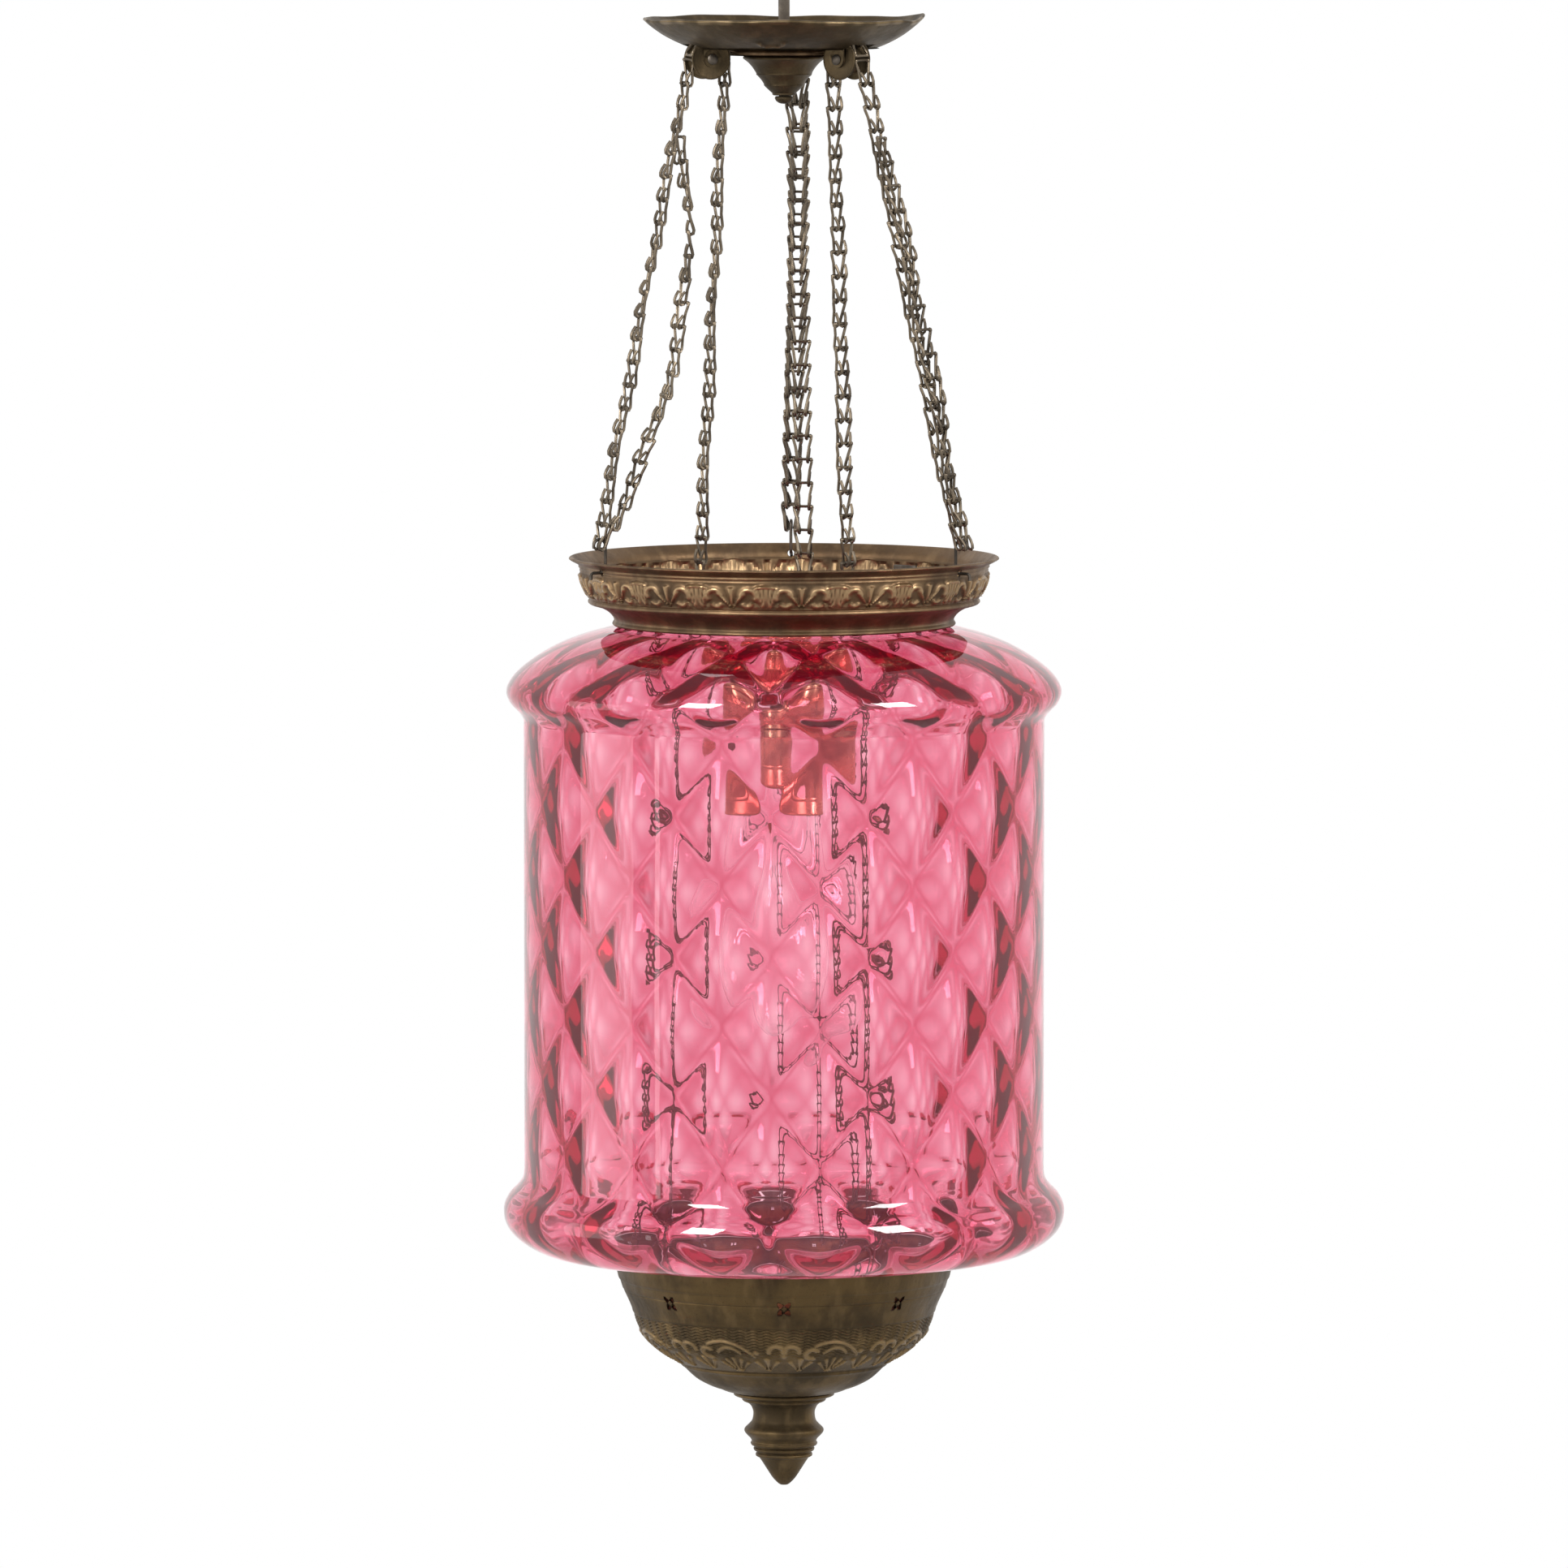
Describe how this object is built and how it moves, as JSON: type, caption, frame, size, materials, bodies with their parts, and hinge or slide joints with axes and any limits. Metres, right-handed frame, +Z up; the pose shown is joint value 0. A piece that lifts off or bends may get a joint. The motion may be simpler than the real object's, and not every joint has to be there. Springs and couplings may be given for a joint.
{
  "type": "hall lamp",
  "caption": "Pull-down hall lamp: a quilted pink glass shade with a brass crown ring and a pierced brass bowl, hung on ladder chains over pulleys.",
  "frame": {"origin": "the point on top of the hanging eye's bore where the ceiling hook bears", "axes": "+Z up along the lamp's axis; -Y towards the front of the picture's view"},
  "size_m": [0.2494, 0.2494, 0.6771],
  "materials": {
    "aged_brass": "warm brown aged pressed brass, rubbed lighter on the raised ornament",
    "dark_brass": "dark brown aged brass, dull, with a worn chipped rim",
    "olive_brass": "olive brown aged brass with dark recesses",
    "chain_steel": "browned steel wire, dull",
    "iron": "browned iron",
    "copper": "coppery lacquered brass, bright",
    "pink_glass": "clear cranberry pink glass, deeper where it is thick",
    "clear_glass": "clear bulb glass",
    "ceramic": "cream glazed ceramic",
    "nickel": "plain nickelled screw cap"
  },
  "bodies": {
    "canopy": {"hanging_rod": "iron", "canopy_dish": "dark_brass", "canopy_disc": "aged_brass", "canopy_cone": "dark_brass", "canopy_nut": "iron", "cone_tip": "dark_brass", "pulley_bracket_1": "dark_brass", "pulley_bracket_2": "dark_brass", "pulley_bracket_3": "dark_brass", "pulley_pin_1": "iron", "pulley_pin_2": "iron", "pulley_pin_3": "iron", "wrapped_chain_1": "chain_steel", "wrapped_chain_2": "chain_steel", "wrapped_chain_3": "chain_steel", "outer_chain_1": "chain_steel", "outer_chain_2": "chain_steel", "outer_chain_3": "chain_steel", "chain_tail_1": "chain_steel", "chain_tail_2": "chain_steel", "chain_tail_3": "chain_steel", "inner_chain_1": "chain_steel", "inner_chain_2": "chain_steel", "inner_chain_3": "chain_steel"},
    "shade": {"crown_ring": "aged_brass", "glass_shade": "pink_glass", "ring_hook_1": "iron", "ring_hook_2": "iron", "ring_hook_3": "iron", "holder_strap": "iron", "holder_nipple": "aged_brass", "holder_locknut": "aged_brass", "holder_cap": "copper", "holder_shell": "copper", "socket_insert": "ceramic", "bulb_cap": "nickel", "bulb_glass": "clear_glass", "filament_mount": "clear_glass"},
    "bowl": {"bottom_bowl": "olive_brass", "bowl_hook_1": "iron", "bowl_hook_2": "iron", "bowl_hook_3": "iron", "finial": "olive_brass", "finial_stud": "iron", "finial_washer": "aged_brass", "finial_nut": "iron"},
    "pulley_1": {"pulley_wheel_1": "aged_brass"},
    "pulley_2": {"pulley_wheel_2": "aged_brass"},
    "pulley_3": {"pulley_wheel_3": "aged_brass"}
  },
  "joints": [
    {"name": "shade_lift", "type": "slide", "parent": "canopy", "child": "shade", "axis": [0, 0, 1], "range_m": [0, 0.022], "deforming": ["outer_chain_1", "outer_chain_2", "outer_chain_3", "chain_tail_1", "chain_tail_2", "chain_tail_3"]},
    {"name": "bowl_drop", "type": "slide", "parent": "canopy", "child": "bowl", "axis": [0, 0, -1], "range_m": [0, 0.022], "deforming": ["inner_chain_1", "inner_chain_2", "inner_chain_3"]},
    {"name": "pulley_turn_1", "type": "hinge", "parent": "canopy", "child": "pulley_1", "pos_m": [-0.03383, -0.01231, -0.039], "axis": [-0.342, 0.9397, 0], "range_deg": [0, 153]},
    {"name": "pulley_turn_2", "type": "hinge", "parent": "canopy", "child": "pulley_2", "pos_m": [0.02758, -0.02314, -0.039], "axis": [-0.6428, -0.766, 0], "range_deg": [0, 153]},
    {"name": "pulley_turn_3", "type": "hinge", "parent": "canopy", "child": "pulley_3", "pos_m": [0.00625, 0.03545, -0.039], "axis": [0.9848, -0.1736, 0], "range_deg": [0, 153]}
  ],
  "couplings": [
    {"joint": "bowl_drop", "follows": "shade_lift", "ratio": 1},
    {"joint": "pulley_turn_1", "follows": "shade_lift", "rad_per_m": 120.48},
    {"joint": "pulley_turn_2", "follows": "shade_lift", "rad_per_m": 120.48},
    {"joint": "pulley_turn_3", "follows": "shade_lift", "rad_per_m": 120.48}
  ]
}
